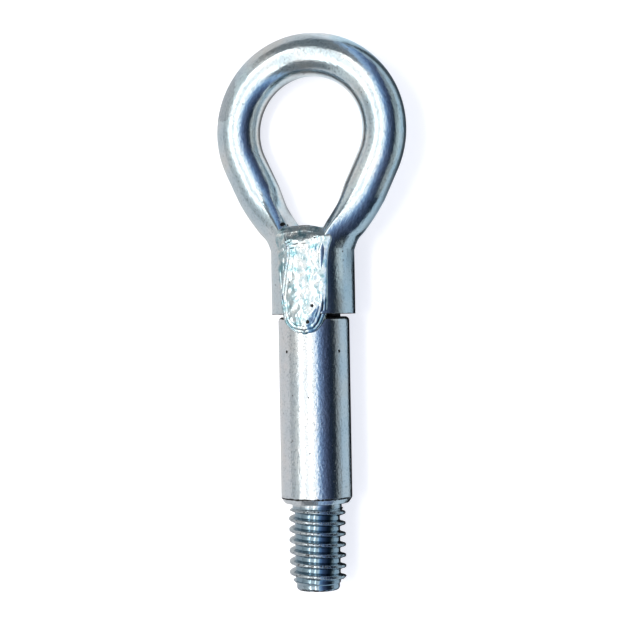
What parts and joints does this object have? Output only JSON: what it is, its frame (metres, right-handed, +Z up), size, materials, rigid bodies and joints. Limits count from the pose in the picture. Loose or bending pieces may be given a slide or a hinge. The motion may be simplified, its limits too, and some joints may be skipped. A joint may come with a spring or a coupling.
{
  "type": "tow eye",
  "caption": "Screw-in tow eye: a teardrop loop of round bar, pressed and welded round a plain shank that ends in a coarse left-hand thread.",
  "frame": {"origin": "on the floor under the middle of the part as it lies at rest", "axes": "+Y along the stud from the thread to the loop, +Z up from the floor, +X to the side of the loop that is raised"},
  "size_m": [0.0534, 0.1572, 0.0249],
  "materials": {
    "plated_steel": "bright zinc plating with a clear blue passivated film, slightly uneven",
    "plated_weld": "zinc plating over a rippled weld bead with small pits"
  },
  "bodies": {
    "root": {"eye_loop": "plated_steel", "threaded_stud": "plated_steel", "front_weld": "plated_weld", "rear_weld": "plated_weld"}
  },
  "joints": []
}
